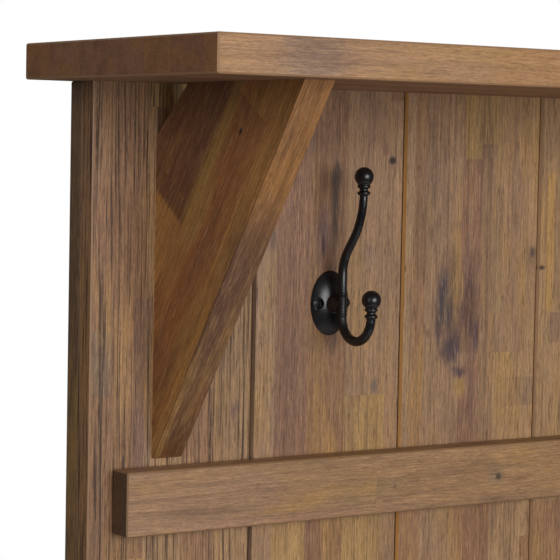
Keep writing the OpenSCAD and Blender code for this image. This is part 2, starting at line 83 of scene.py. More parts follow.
def add(tree, kind, *values, settings=None, ramp=None, **named):
    """Adds a shader node with its settings, and sets or links its inputs in order or by name.

    A colour ramp is stepped: each colour holds until the next one's place.
    """
    node = tree.nodes.new("ShaderNode" + kind)
    for key, value in (settings or {}).items():
        setattr(node, key, value)
    if ramp:
        stops = node.color_ramp.elements
        while len(stops) < len(ramp):
            stops.new(1.0)
        node.color_ramp.interpolation = "CONSTANT"
        for stop, (place, code) in zip(stops, ramp):
            stop.position = place
            stop.color = linear(code)
    open_inputs = [s for s in node.inputs if s.enabled]
    pairs = list(zip(open_inputs, values))
    pairs += [(next(s for s in open_inputs if s.name == key.replace("_", " ")), value)
              for key, value in named.items()]
    for socket, value in pairs:
        if isinstance(value, bpy.types.Node):
            value = next(s for s in value.outputs if s.enabled)
        if isinstance(value, bpy.types.NodeSocket):
            tree.links.new(value, socket)
        elif value is not None:
            socket.default_value = value
    return node


def new_material(name):
    """Empty node material and its tree."""
    material = bpy.data.materials.new(name)
    material.use_nodes = True
    material.node_tree.nodes.clear()
    return material, material.node_tree


def finish_material(tree, colour, roughness, height=None, depth=0.0, **named):
    """Principled surface with its bump, joined to the material's output."""
    bump = None
    if height is not None:
        bump = add(tree, "Bump", Strength=1.0, Distance=depth, Height=height)
    surface = add(tree, "BsdfPrincipled", Base_Color=colour, Roughness=roughness, Normal=bump, **named)
    add(tree, "OutputMaterial", surface)


def paint(material, *names):
    """Gives CAD nodes a material through their slots."""
    for name in names:
        for place in NODES[name].material_slots:
            place.material = material


# ---- Wood ------------------------------------------------------------------------------

# Tones of the staves that each kind of piece is glued up from, and of the plywood's veneer
BOARD_TONES = ["#9d7959", "#8c6546", "#a4805a", "#976f4d", "#a98452", "#8d664e", "#9d7755", "#ae8950"]
SLAB_TONES = ["#a07a62", "#9a725b", "#a67d58", "#966f5c"]
RAIL_TONES = ["#9a7550", "#946f50", "#9f7a50", "#93704e"]
BRACE_TONES = ["#a8703c", "#9e6638", "#b07a40", "#98603a"]
FRAME_TONES = ["#6d523a", "#634a34", "#745940"]
FRAME_EDGE = ("#6d523a",)
PLY_TONES = ["#b39468", "#ad8e62"]

# Marks are (across, along, half width, half length, colour, strength), in mm from a corner of the
# piece. Staves have sharp ends, stains and painted shade lie soft under the grain, and knots lie over it.
BOARD_STAVES = [
    (10, -236, 10, 28, "#6b5c4b", 0.55),
    (29, -260, 7, 70, "#9a7347", 0.55),
    (51, -260, 9, 80, "#6e5148", 0.55),
    (174, -170, 12, 190, "#a5846a", 0.50),
    (330, -170, 6, 190, "#a38463", 0.60),
    (429, -190, 13, 144, "#9f7f5a", 0.50),
    (405, -23, 10, 37, "#ad8b4f", 0.60),
    (424, -22, 10, 24, "#ad8b50", 0.60),
    (467, -280, 22, 14, "#7b604f", 0.50),
    (501, -138, 5, 67, "#b58848", 0.70),
    (509, -220, 6, 15, "#7a5a50", 0.60),
]
BOARD_STAINS_AND_SHADE = [
    # Painted shade: a soft dark band along the groove between boards 1 and 2
    (162, -250, 5, 200, "#5d473a", 0.45),
    # Painted shadow: the brace's soft shadow on board 1, to the right of its lower half
    (134, -220, 22, 190, "#7c5b46", 0.45),
    (50, -60, 70, 60, "#a9815f", 0.40),
    (247, -106, 5, 46, "#432d22", 0.85),
    (248, -76, 8, 12, "#38261c", 0.80),
    # Painted shadow: a short dark smear just under the first hook's plate
    (247, -226, 5, 15, "#4c3226", 0.65),
    (235, -130, 11, 30, "#7a6064", 0.50),
    (179, -130, 8, 17, "#6d5a5c", 0.55),
    (221, -38, 7, 20, "#6b5550", 0.50),
    (227, -14, 6, 12, "#6b5550", 0.40),
    (287, -150, 7, 16, "#86706a", 0.40),
    (144, -280, 6, 8, "#6c4f4c", 0.60),
    (362, -95, 24, 62, "#7a614f", 0.55),
    (388, -196, 33, 70, "#624740", 0.90),
    (374, -190, 13, 36, "#41373f", 0.90),
    (403, -198, 9, 50, "#543631", 0.85),
    (383, -238, 17, 16, "#43343e", 0.85),
    (366, -218, 4, 20, "#3c3038", 0.70),
    (412, -226, 4, 24, "#45303a", 0.75),
    (392, -256, 12, 5, "#4a3640", 0.80),
    (396, -244, 9, 9, "#9a775b", 0.70),
    (389, -259, 9, 6, "#5f4a50", 0.55),
    (408, -276, 6, 28, "#7c5a4c", 0.65),
    (394, -271, 9, 12, "#b28a4a", 0.60),
    (479, -147, 9, 12, "#6b5644", 0.50),
]
BOARD_KNOTS = [
    (310, -62, 5.5, 4.6, "#2a1a1a", 0.95),
    (302, -52, 6, 8, "#7c5347", 0.55),
    (235, -138, 2.6, 12, "#45303a", 0.75),
    (295, -267, 5, 9, "#5f5450", 0.65),
    (479, -147, 4, 6, "#4a3c32", 0.75),
    (490, -162, 7, 2.8, "#2f2018", 0.85),
    (355, -221, 3.5, 6, "#644a3a", 0.50),
    (389, -121, 7, 6, "#6f5245", 0.35),
]
# Colours of the bevel beside each board's left edge, dark, amber or tan by board. The first, pale one is
# a painted highlight along the panel's outer, eased edge
GROOVE_TONES_AND_EDGE_HIGHLIGHT = ["#a98468", "#4d382b", "#ab752c", "#8e6d4e", "#4d382b", "#a5742f", "#8e6d4e"]

RAIL_STAVES = [(27, 88, 28, 88, "#98745a", 0.50)]
RAIL_STAINS = [
    (35, 267, 16, 55, "#84684a", 0.50),
    (30, 423, 9, 11, "#7d6b55", 0.60),
    (13, 424, 7, 9, "#bd8e58", 0.55),
    (33, 449, 5, 24, "#7f5c44", 0.55),
]
RAIL_KNOTS = [(30, 423, 4, 4.5, "#40332a", 0.85), (31, 302, 2.5, 3, "#5c4432", 0.60)]

SHELF_STAINS = [
    (0, 85, 14, 38, "#8c7262", 0.60),
    (0, 22, 14, 16, "#ac8258", 0.50),
    (0, 300, 20, 60, "#ad7c4c", 0.50),
]

BRACE_STAVES = [(118, -54, 38, 144.6, "#6a4029", 0.90)]
BRACE_STAINS = [
    (74, -120, 9, 140, "#ab8440", 0.65),
    (46, -190, 17, 190, "#8f5229", 0.45),
    (9, -150, 7, 230, "#ae7a3c", 0.50),
    (24, -300, 5, 70, "#5f3a24", 0.50),
    (-1, -230, 4, 170, "#614231", 0.95),
    (-1, -390, 5, 90, "#583722", 0.90),
    (35, -400, 45, 120, "#7a4d2b", 0.70),
    (-1, -40, 3, 70, "#8a5f38", 0.70),
]
BRACE_KNOTS = [(51, -83, 2.2, 4.5, "#1d110b", 0.95)]


# Cells of noise per mm, across the width, through the thickness and along the grain. Acacia's
# real pores are about 0.2 mm wide, and these are drawn coarser, about 1 mm, to show at all
FINE_LINES = (0.55, 0.55, 0.008)
PORES = (0.95, 0.95, 0.06)
STREAKS = (0.13, 0.13, 0.004)
FIGURE = (0.035, 0.035, 0.008)
FLECKS = (0.8, 0.8, 0.2)
# How far lines wander and how far the ends of stains are spread along the grain, in mm
LINE_DRIFT = 7.0
STAIN_PULL = 26.0
# Jump in the pattern from one board to the next, so that no stave runs on across the joint
BOARD_STEP = 7.31
# Spreads the staves over the noise's fourth dimension, so that each has its own grain
STAVE_SHIFT = 60.0
# Strength of the fine lines on the leftmost board of a row, and on the other boards
FIRST_BOARD_LINES = 2.3
OTHER_BOARD_LINES = 0.9
BRUSH_DEPTH = 0.4 * MM
WOOD_IOR = 1.5


def mark(tree, plane, base, spot, sharp):
    """Lays one stave, stain, knot or patch of painted shade over a colour."""
    across, along, half_width, half_length, code, strength = spot
    local = add(tree, "Mapping", plane, Location=(across, along, 0), Scale=(half_width, half_length, 1),
                settings={"vector_type": "TEXTURE"})
    if sharp:
        sides = add(tree, "SeparateXYZ", add(tree, "VectorMath", local, settings={"operation": "ABSOLUTE"}))
        reach = add(tree, "Math", sides.outputs[0], sides.outputs[1], settings={"operation": "MAXIMUM"})
        mask = add(tree, "MapRange", reach, 1.0, 0.97, 0.0, strength)
    else:
        reach = add(tree, "VectorMath", local, settings={"operation": "LENGTH"}).outputs["Value"]
        mask = add(tree, "MapRange", reach, 1.1, 0.35, 0.0, strength,
                   settings={"interpolation_type": "SMOOTHSTEP"})
    return add(tree, "Mix", mask, base, linear(code), settings={"data_type": "RGBA"})


def wood(name, turn, tones, seed=0.0, stave=(36.0, 520.0), boards=None, corner=(0.0, 0.0),
         staves=(), stains_and_shade=(), knots=(), lines=1.0, edge=("#a98260",), end="#c0b4ac",
         warmth=("#ad8346", "#69493a")):
    """Brushed, stained acacia made of edge-glued staves, with its grain along the turned Z axis.

    Brushing pulls the soft early wood out, so fine dark lines stand between light ridges.
    stave is the usual width and the length of a stave, and boards the left edge and pitch of a row
    of boards, all in mm. corner is the place, across and along the grain, that the marks are
    measured from. lines says how strongly the dark lines show, edge is the colour of the cut
    bevels, or a list of one for each board, end tints the end grain, and warmth is the sapwood and
    the heartwood.
    """
    colours = bpy.context.scene.hall_tree_colours
    material, tree = new_material(name)
    place = add(tree, "TexCoord")
    at = add(tree, "Mapping", place.outputs["Object"], Rotation=turn, Scale=(1 / MM,) * 3)
    normal = add(tree, "Mapping", place.outputs["Normal"], Rotation=turn,
                 settings={"vector_type": "NORMAL"})

    # Lines wander a little, more slowly along the grain than across it
    drift = add(tree, "Mapping", at, Location=(seed, 0, 0), Scale=(0.02, 0.02, 0.004))
    drift = add(tree, "TexNoise", drift, Scale=1.0, Detail=1.0).outputs["Color"]
    drift = add(tree, "VectorMath", drift, (0.5, 0.5, 0.5), settings={"operation": "SUBTRACT"})
    drift = add(tree, "VectorMath", drift, (LINE_DRIFT, LINE_DRIFT, 0.0), settings={"operation": "MULTIPLY"})
    bent = add(tree, "VectorMath", at, drift, settings={"operation": "ADD"})
    axes = add(tree, "SeparateXYZ", at)

    # Staves: irregular widths across the grain, butt joints along it
    columns = add(tree, "Math", axes.outputs["X"], 1 / stave[0], seed, settings={"operation": "MULTIPLY_ADD"})
    board = None
    if boards:
        first, pitch = boards
        board = add(tree, "Math", axes.outputs["X"], 1 / pitch, -first / pitch,
                    settings={"operation": "MULTIPLY_ADD"})
        board = add(tree, "Math", board, settings={"operation": "FLOOR"})
        columns = add(tree, "Math", board, BOARD_STEP, columns, settings={"operation": "MULTIPLY_ADD"})
    cell = add(tree, "TexVoronoi", W=columns, Scale=1.0, Randomness=0.8,
               settings={"voronoi_dimensions": "1D"})
    cell = add(tree, "SeparateColor", cell.outputs["Color"])
    row = add(tree, "Math", axes.outputs["Z"], 1 / stave[1], settings={"operation": "MULTIPLY"})
    row = add(tree, "Math", cell.outputs[1], 9.0, row, settings={"operation": "MULTIPLY_ADD"})
    row = add(tree, "Math", row, settings={"operation": "FLOOR"})
    piece = add(tree, "TexWhiteNoise", add(tree, "CombineXYZ", cell.outputs[0], row, seed))
    colour = add(tree, "ValToRGB", piece.outputs["Value"],
                 ramp=[(k / len(tones), code) for k, code in enumerate(tones)])
    shift = add(tree, "Math", piece.outputs["Value"], STAVE_SHIFT, settings={"operation": "MULTIPLY"})

    def grain(scale, detail, rough=0.55):
        """Noise drawn out along the grain, different in each stave."""
        drawn = add(tree, "Mapping", bent, Location=(seed, seed, seed), Scale=scale)
        return add(tree, "TexNoise", drawn, shift, Scale=1.0, Detail=detail, Roughness=rough,
                   settings={"noise_dimensions": "4D"}).outputs[0]

    fine = grain(FINE_LINES, 1.5, 0.7)
    pore = grain(PORES, 2.0, 0.7)
    streak = grain(STREAKS, 2.0)
    figure = grain(FIGURE, 3.0)
    fleck = grain(FLECKS, 2.0, 0.7)

    # Stains have torn ends, because the grain pulls them, and the painted shade among them is torn the same
    # way
    plane = add(tree, "CombineXYZ", axes.outputs["X"], axes.outputs["Z"])
    plane = add(tree, "VectorMath", plane, (-corner[0], -corner[1], 0.0), settings={"operation": "ADD"})
    pull = add(tree, "Math", streak, STAIN_PULL, -STAIN_PULL / 2, settings={"operation": "MULTIPLY_ADD"})
    torn = add(tree, "VectorMath", plane, add(tree, "CombineXYZ", 0.0, pull), settings={"operation": "ADD"})
    for spot in staves:
        colour = mark(tree, plane, colour, spot, True)
    for spot in stains_and_shade:
        colour = mark(tree, torn, colour, spot, False)

    # Broad figure: amber sapwood one way, purple-brown heartwood the other
    warm = add(tree, "MapRange", figure, 0.52, 0.68, 0.0, 0.60)
    colour = add(tree, "Mix", warm, colour, linear(warmth[0]), settings={"data_type": "RGBA"})
    cool = add(tree, "MapRange", figure, 0.46, 0.30, 0.0, 0.46)
    colour = add(tree, "Mix", cool, colour, linear(warmth[1]), settings={"data_type": "RGBA"})

    # Brushed lines: dark pores, pale ridges, wider streaks and short flecks
    drawn = add(tree, "MapRange", fine, 0.49, 0.37, 0.0, 0.42 * lines)
    if boards:
        outer = add(tree, "MapRange", board, 0.0, 1.0, FIRST_BOARD_LINES, OTHER_BOARD_LINES)
        drawn = add(tree, "Math", drawn, outer, settings={"operation": "MULTIPLY"})
    pores = add(tree, "MapRange", pore, 0.46, 0.32, 0.0, 0.72 * lines)
    pores = add(tree, "Math", pores, drawn, settings={"operation": "MAXIMUM"})
    colour = add(tree, "Mix", pores, colour, colours.wood_pore, settings={"data_type": "RGBA"})
    ridges = add(tree, "MapRange", pore, 0.53, 0.70, 0.0, 0.42)
    colour = add(tree, "Mix", ridges, colour, colours.wood_ridge, settings={"data_type": "RGBA"})
    level = add(tree, "Math", add(tree, "MapRange", streak, 0.3, 0.7, 0.88, 1.13),
                add(tree, "MapRange", fleck, 0.3, 0.7, 0.80, 1.20), settings={"operation": "MULTIPLY"})
    colour = add(tree, "Mix", 1.0, colour, add(tree, "CombineColor", level, level, level),
                 settings={"data_type": "RGBA", "blend_type": "MULTIPLY"})
    for spot in knots:
        colour = mark(tree, plane, colour, spot, False)

    # End grain drinks the stain and goes dark; cut bevels get a colour of their own, which on the panel's
    # outer edge is a painted highlight
    facing = add(tree, "VectorMath", normal, settings={"operation": "ABSOLUTE"})
    ends = add(tree, "MapRange", add(tree, "SeparateXYZ", facing).outputs["Z"], 0.55, 0.85, 0.0, 1.0)
    colour = add(tree, "Mix", ends, colour, linear(end),
                 settings={"data_type": "RGBA", "blend_type": "MULTIPLY"})
    slant = add(tree, "VectorMath", facing, (1.0, 1.0, 1.0), settings={"operation": "DOT_PRODUCT"})
    bevels = add(tree, "MapRange", slant.outputs["Value"], 1.2, 1.38, 0.0, 0.75)
    bevel_tone_and_highlight = linear(edge[0])
    if boards and len(edge) > 1:
        share = add(tree, "Math", board, 1 / len(edge), 0.5 / len(edge),
                    settings={"operation": "MULTIPLY_ADD"})
        bevel_tone_and_highlight = add(tree, "ValToRGB", share, ramp=[(k / len(edge), code) for k, code in enumerate(edge)])
    colour = add(tree, "Mix", bevels, colour, bevel_tone_and_highlight, settings={"data_type": "RGBA"})

    sheen = add(tree, "MapRange", fine, 0.3, 0.7, 0.64, 0.46)
    finish_material(tree, colour, sheen, fine, BRUSH_DEPTH, IOR=WOOD_IOR)
    return material


# ---- Metal, rubber and plastic ---------------------------------------------------------


def coated(name, hue, roughness, grit, depth, spread=0.08, **named):
    """Even coat or skin: its colour and gloss drift a little.

    grit is the size of its texture and depth its relief, both in mm.
    """
    material, tree = new_material(name)
    place = add(tree, "TexCoord")
    at = add(tree, "Mapping", place.outputs["Object"], Scale=(1 / MM,) * 3)
    skin = add(tree, "TexNoise", at, Scale=1 / grit, Detail=2.0).outputs[0]
    cloud = add(tree, "TexNoise", at, Scale=0.06, Detail=3.0).outputs[0]
    level = add(tree, "MapRange", cloud, 0.3, 0.7, 0.85, 1.15)
    colour = add(tree, "Mix", 1.0, hue, add(tree, "CombineColor", level, level, level),
                 settings={"data_type": "RGBA", "blend_type": "MULTIPLY"})
    gloss = add(tree, "MapRange", cloud, 0.3, 0.7, roughness - spread, roughness + spread)
    finish_material(tree, colour, gloss, skin, depth * MM, **named)
    return material


# ---- Cast hooks ------------------------------------------------------------------------

# Sides of an arm and steps of each of its moves, and rounds of smoothing of the casting
ARM_SIDES = 28
ARM_STEPS = 8
CAST_SMOOTHING = 7
# Sizes in mm, and bends in degrees. A reach is from the board, and the stem's foot and collars
# are heights from the plate's middle
STEM_REACH = 19.3
STEM_FOOT = -10.3
STEM_RADIUS = 4.1
# Moves of the arms: (length, or angle of a bend; the bend's radius; the arm's radius at its end)
UPPER_ARM = [(37.3, None, 4.1), (38, 34.0, 4.0), (12.2, None, 3.9), (-38, 68.0, 3.7), (14.4, None, 3.6)]
LOWER_ARM = [(-90, 21.0, 4.3), (-90, 22.8, 4.0), (15.3, None, 3.6)]
COLLAR_RADIUS = 5.9
COLLAR_THICK = 1.75
COLLAR_DROPS = (8.5, 14.3)
STEM_COLLARS = (-9.5, 9.5)
STEM_COLLAR_RING = 3.2
STEM_COLLAR_THICK = 1.6
NECK_TIP_RADIUS = 4.2
NECK_ROOT_RADIUS = 9.0
NECK_LENGTH = 13.0
NECK_REACH = 12.6
SEAT_RADIUS = 4.9
SEAT_REACH = 3.2
SCREW_OFFSET = 16.0
CAST_VOXEL = 0.42


def deselect():
    """Leaves nothing selected, so that the next tool acts on one piece only."""
    bpy.ops.object.select_all(action="DESELECT")


def beside(centre, reach, height):
    """Place in the hook's side view: reach from the board and height from the plate's middle, in mm."""
    return centre + Vector((0.0, -reach, height)) * MM


def arm(centre, start, heading, radius, moves):
    """Models an arm from a disc, and returns it with the place where it ends.

    The heading is in radians from straight up, and grows outwards from the board.
    """
    at = Vector(start)
    bpy.ops.mesh.primitive_circle_add(vertices=ARM_SIDES, radius=radius * MM, fill_type="NGON",
                                      location=beside(centre, *at))
    bpy.ops.object.mode_set(mode="EDIT")
    bpy.ops.mesh.select_all(action="SELECT")
    for amount, bend, end_radius in moves:
        shrink = (end_radius / radius) ** (1 / ARM_STEPS)
        for _ in range(ARM_STEPS):
            if bend is None:
                step = amount / ARM_STEPS * Vector((math.sin(heading), math.cos(heading)))
                bpy.ops.mesh.extrude_region_move(
                    TRANSFORM_OT_translate={"value": Vector((0.0, -step.x, step.y)) * MM})
                at = at + step
            else:
                turn = math.radians(amount) / ARM_STEPS
                side = math.copysign(bend, turn)
                hub = at + side * Vector((math.cos(heading), -math.sin(heading)))
                # The angle is negative, because spin runs against the right-hand rule here
                bpy.ops.mesh.spin(steps=1, angle=-turn, center=beside(centre, *hub), axis=(1, 0, 0))
                heading += turn
                at = hub - side * Vector((math.cos(heading), -math.sin(heading)))
            bpy.ops.transform.resize(value=(shrink,) * 3, center_override=beside(centre, *at))
        radius = end_radius
    bpy.ops.object.mode_set(mode="OBJECT")
    return bpy.context.object, at


def ball_end(centre, at, ball_radius):
    """Ball with two turned collars under it."""
    bpy.ops.mesh.primitive_uv_sphere_add(segments=48, ring_count=32, radius=ball_radius * MM,
                                         location=beside(centre, *at))
    parts = [bpy.context.object]
    for drop in COLLAR_DROPS:
        bpy.ops.mesh.primitive_torus_add(major_segments=48, minor_segments=16,
                                         major_radius=(COLLAR_RADIUS - COLLAR_THICK) * MM,
                                         minor_radius=COLLAR_THICK * MM,
                                         location=beside(centre, at.x, at.y - drop))
        parts.append(bpy.context.object)
    return parts


def plate(centre, width, height, dome):
    """Domed oval plate: a flattened ball cut off at the board, with a seat sunk for each screw."""
    sunk = (width * width / 4 - dome * dome) / (2 * dome)
    bpy.ops.mesh.primitive_uv_sphere_add(segments=96, ring_count=64, radius=sunk + dome,
                                         location=centre + Vector((0.0, sunk, 0.0)))
    piece = bpy.context.object
    bpy.ops.object.mode_set(mode="EDIT")
    bpy.ops.mesh.select_all(action="SELECT")
    bpy.ops.transform.resize(value=(1.0, 1.0, height / width), center_override=centre)
    bpy.ops.mesh.bisect(plane_co=centre, plane_no=(0.0, 1.0, 0.0), use_fill=True, clear_outer=True)
    bpy.ops.object.mode_set(mode="OBJECT")
    for side in (-1, 1):
        bpy.ops.mesh.primitive_cylinder_add(
            vertices=48, radius=SEAT_RADIUS * MM, depth=dome * 2, rotation=(math.radians(90), 0, 0),
            location=centre + Vector((side * SCREW_OFFSET * MM, -SEAT_REACH * MM - dome, 0.0)))
        cutter = bpy.context.object
        deselect()
        bpy.context.view_layer.objects.active = piece
        cut = piece.modifiers.new("seat", "BOOLEAN")
        cut.operation = "DIFFERENCE"
        cut.object = cutter
        bpy.ops.object.modifier_apply(modifier=cut.name)
        bpy.data.objects.remove(cutter)
    return piece


def casting(parts, name):
    """Fuses overlapping parts into one skin and rounds the inner corners, as a sand casting has."""
    deselect()
    for each in parts:
        each.select_set(True)
    bpy.context.view_layer.objects.active = parts[0]
    bpy.ops.object.join()
    piece = bpy.context.object
    piece.name = name
    bpy.ops.object.transform_apply(location=True, rotation=True, scale=True)
    skin = piece.modifiers.new("skin", "REMESH")
    skin.mode = "VOXEL"
    skin.voxel_size = CAST_VOXEL * MM
    bpy.ops.object.modifier_apply(modifier=skin.name)
    soften = piece.modifiers.new("soften", "SMOOTH")
    soften.factor = 0.5
    soften.iterations = CAST_SMOOTHING
    bpy.ops.object.modifier_apply(modifier=soften.name)
    bpy.ops.object.shade_smooth()
    return piece


# ---- Stage -----------------------------------------------------------------------------

# Softboxes: (name, place, aim, width and height, watts), in metres, and the room's own light
LIGHTS = [
    ("front_softbox", (-0.2, -4.0, 1.95), (-0.2, 0.2, 1.5), (2.6, 2.0), 128.0),
    ("left_softbox", (-3.2, -0.95, 2.35), (-0.4, 0.1, 1.6), (1.6, 2.0), 24.0),
    ("rear_softbox", (2.6, 3.2, 2.4), (0.0, 0.2, 0.9), (2.0, 2.0), 80.0),
]
AMBIENT = 0.14
AMBIENT_BELOW = 0.25 * AMBIENT
AMBIENT_TINT = (1.0, 0.97, 0.94, 1.0)
# Where the camera stands, in metres from the panel's upper left corner, and how it is turned
CAMERA_REACH = Vector((-0.870, -1.5721, -0.0522))
CAMERA_YAW = math.radians(33.97)
CAMERA_PITCH = math.radians(-3.51)
CAMERA_ROLL = math.radians(1.13)


# ---- Sizes and colours -----------------------------------------------------------------


class HallTreeSizes(bpy.types.PropertyGroup):
    """Sizes of the modelled hooks and of the stage"""
    plate_width: bpy.props.FloatProperty(
        name="Plate width", description="Width of a hook's oval plate", default=0.042, unit="LENGTH")
    plate_height: bpy.props.FloatProperty(
        name="Plate height", description="Height of a hook's oval plate", default=0.059, unit="LENGTH")
    plate_dome: bpy.props.FloatProperty(
        name="Plate dome", description="Rise of the plate at its middle", default=0.009, unit="LENGTH")
    ball_diameter: bpy.props.FloatProperty(
        name="Ball", description="Diameter of the ball on each arm", default=0.017, unit="LENGTH")
    floor_radius: bpy.props.FloatProperty(
        name="Floor radius", description="Radius of the studio floor", default=1.5, unit="LENGTH")
    lens: bpy.props.FloatProperty(
        name="Lens", description="Focal length of the camera on a 36 mm sensor", default=138.78,
        unit="CAMERA")


class HallTreeColours(bpy.types.PropertyGroup):
    """Colours of the wood's grain, the hooks' coat and the floor"""
    wood_pore: bpy.props.FloatVectorProperty(
        name="Pores", description="Dark lines that the brushing leaves in the wood", subtype="COLOR",
        size=4, min=0, max=1, default=linear("#452d1d"))
    wood_ridge: bpy.props.FloatVectorProperty(
        name="Ridges", description="Pale ridges between the dark lines", subtype="COLOR",
        size=4, min=0, max=1, default=linear("#c29c6e"))
    coat: bpy.props.FloatVectorProperty(
        name="Hook coat", description="Powder coat on the cast hooks", subtype="COLOR",
        size=4, min=0, max=1, default=linear("#19181a"))
    floor: bpy.props.FloatVectorProperty(
        name="Floor", description="Studio floor", subtype="COLOR",
        size=4, min=0, max=1, default=linear("#e6e4e0"))


# ---- Operators -------------------------------------------------------------------------


class HALLTREE_OT_boards(bpy.types.Operator):
    """Brushed acacia on the back boards and the bench's boards"""
    bl_idname = "halltree.boards"
    bl_label = "Boards"

    def execute(self, context):
        # Solid acacia, wire-brushed and stained: satin, lively in colour, with its pores open
        columns = (PANEL_LEFT / MM, BOARD_PITCH / MM)
        back = wood("brushed acacia boards", GRAIN_UP, BOARD_TONES, 3.1, boards=columns,
                    corner=(PANEL_LEFT / MM, SHELF_UNDER / MM), staves=BOARD_STAVES,
                    stains_and_shade=BOARD_STAINS_AND_SHADE, knots=BOARD_KNOTS, edge=GROOVE_TONES_AND_EDGE_HIGHLIGHT)
        paint(back, *BOARDS)
        front = wood("brushed acacia bench front", GRAIN_UP, BOARD_TONES, 8.7, boards=columns,
                     edge=GROOVE_TONES_AND_EDGE_HIGHLIGHT)
        paint(front, *[n for n in NODES if n.startswith("bench_front_board_")])
        side = wood("brushed acacia bench ends", GRAIN_UP_SIDE, BOARD_TONES, 5.9, edge=("#8a6236",))
        paint(side, *[n for n in NODES if n.startswith("bench_end_board_")])
        return {"FINISHED"}


class HALLTREE_OT_slabs(bpy.types.Operator):
    """Brushed acacia on the top shelf, the seat and its fixed strip"""
    bl_idname = "halltree.slabs"
    bl_label = "Shelf and seat"

    def execute(self, context):
        # The same acacia in wider staves, brushed more lightly than the boards
        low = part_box("top_shelf")[0]
        for seed, names in enumerate((["top_shelf", "shelf_plugs"], ["seat_lid"], ["seat_strip"])):
            slab = wood("brushed acacia " + names[0].replace("_", " "), GRAIN_ALONG_SLAB, SLAB_TONES,
                        20.0 + 3.7 * seed, (48.0, 700.0), lines=0.6, end="#dccabc",
                        corner=(low.y / MM, low.x / MM), stains_and_shade=SHELF_STAINS if seed == 0 else ())
            paint(slab, *names)
        return {"FINISHED"}


class HALLTREE_OT_braces(bpy.types.Operator):
    """Planed acacia on the two braces, with the grain along their front edge"""
    bl_idname = "halltree.braces"
    bl_label = "Braces"

    def execute(self, context):
        # Planed and stained acacia, satin: warmer than the boards, with one dark heartwood stave
        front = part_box("shelf_brace_left")[0].y
        top = Vector((front, SHELF_UNDER)) / MM
        slope = Vector((math.cos(BRACE_SLOPE), math.sin(BRACE_SLOPE)))
        corner = (top.dot(slope), top.dot(Vector((-slope.y, slope.x))))
        brace = wood("planed acacia braces", GRAIN_DOWN_BRACE, BRACE_TONES, 14.2, (62.0, 640.0),
                     lines=0.8, corner=corner, staves=BRACE_STAVES, stains_and_shade=BRACE_STAINS,
                     knots=BRACE_KNOTS)
        paint(brace, "shelf_brace_left", "shelf_brace_right")
        return {"FINISHED"}


class HALLTREE_OT_rails(bpy.types.Operator):
    """Brushed acacia on the planted rails and the bench's posts"""
    bl_idname = "halltree.rails"
    bl_label = "Rails and posts"

    def execute(self, context):
        # Brushed acacia, mostly one stave wide, so that its colour is even
        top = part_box("panel_rail")[1].z
        rail = wood("brushed acacia rail", GRAIN_ALONG_RAIL, RAIL_TONES, 31.4, (70.0, 460.0),
                    lines=0.6, end="#9a9694", corner=(-top / MM, PANEL_LEFT / MM),
                    staves=RAIL_STAVES, stains_and_shade=RAIL_STAINS, knots=RAIL_KNOTS, edge=("#8a6a4a",))
        paint(rail, "panel_rail")
        front = wood("brushed acacia bench rails", GRAIN_ALONG_RAIL, RAIL_TONES, 33.2, (70.0, 460.0),
                     lines=0.7)
        paint(front, "bench_front_rail_top", "bench_front_rail_bottom")
        side = wood("brushed acacia end rails", GRAIN_BACK, RAIL_TONES, 36.4, (70.0, 460.0), lines=0.7)
        paint(side, *[n for n in NODES if n.startswith("bench_end_rail_")])
        post = wood("brushed acacia posts", GRAIN_UP, RAIL_TONES, 40.8, (70.0, 640.0), lines=0.8)
        paint(post, "bench_post_left", "bench_post_right")
        return {"FINISHED"}


class HALLTREE_OT_inner_frame(bpy.types.Operator):
    """Plain stained wood behind and inside, and the plywood floor of the bench"""
    bl_idname = "halltree.inner_frame"
    bl_label = "Inner frame"

    def execute(self, context):
        # Plain solid wood, stained darker than the acacia, in wide staves of nearly one tone
        upright = wood("plain stained stiles", GRAIN_UP, FRAME_TONES, 51.3, (80.0, 900.0), lines=0.6,
                       edge=FRAME_EDGE)
        paint(upright, "rear_stile_left", "rear_stile_right")
        level = wood("plain stained battens", GRAIN_ALONG_RAIL, FRAME_TONES, 54.9, (90.0, 900.0),
                     lines=0.6, edge=FRAME_EDGE)
        paint(level, "seat_ledger", "floor_cleat_front", "floor_cleat_rear",
              *[n for n in NODES if n.startswith("rear_batten_")])
        across = wood("plain stained lid battens", GRAIN_BACK, FRAME_TONES, 57.7, (90.0, 900.0),
                      lines=0.6, edge=FRAME_EDGE)
        paint(across, "lid_batten_left", "lid_batten_right")
        # Birch plywood with a thin clear coat: pale, in wide sheets of veneer with faint lines
        ply = wood("birch plywood", GRAIN_ALONG_SLAB, PLY_TONES, 61.1, (900.0, 4000.0), lines=0.25,
                   edge=("#8f744e",))
        paint(ply, "bench_floor")
        return {"FINISHED"}


